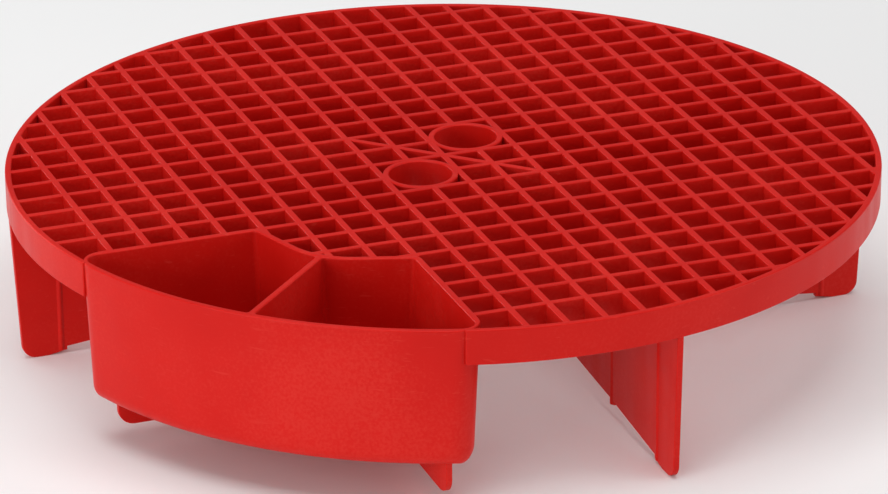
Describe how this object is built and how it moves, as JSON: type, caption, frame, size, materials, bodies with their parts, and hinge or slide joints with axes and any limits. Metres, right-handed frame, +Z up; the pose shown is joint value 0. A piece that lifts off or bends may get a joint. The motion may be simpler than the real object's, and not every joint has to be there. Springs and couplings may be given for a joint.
{
  "type": "round grid insert with caddy",
  "caption": "Round open-grid plastic insert on fin-shaped feet, with finger holes and a two-compartment caddy moulded into its rim.",
  "frame": {"origin": "centre of the round deck, on the ground under the feet", "axes": "+Z up from the ground to the deck, -Y towards the caddy, +X to the right of someone facing the caddy"},
  "size_m": [0.2632, 0.2632, 0.056],
  "materials": {
    "red_plastic": "satin injection-moulded polypropylene, fine matt grain"
  },
  "bodies": {
    "root": {"rim_band": "red_plastic", "grid_right": "red_plastic", "grid_left": "red_plastic", "grid_back": "red_plastic", "grid_front_left": "red_plastic", "grid_front_right": "red_plastic", "grid_front_centre": "red_plastic", "centre_web": "red_plastic", "finger_collar_front": "red_plastic", "finger_collar_back": "red_plastic", "caddy_outer_wall": "red_plastic", "caddy_inner_wall": "red_plastic", "caddy_end_wall_right": "red_plastic", "caddy_end_wall_left": "red_plastic", "caddy_divider": "red_plastic", "caddy_floor_right": "red_plastic", "caddy_floor_left": "red_plastic", "fin_front_right": "red_plastic", "fin_front_left": "red_plastic", "fin_back_right": "red_plastic", "fin_back_left": "red_plastic", "caddy_leg_right": "red_plastic", "caddy_leg_left": "red_plastic"}
  },
  "joints": []
}
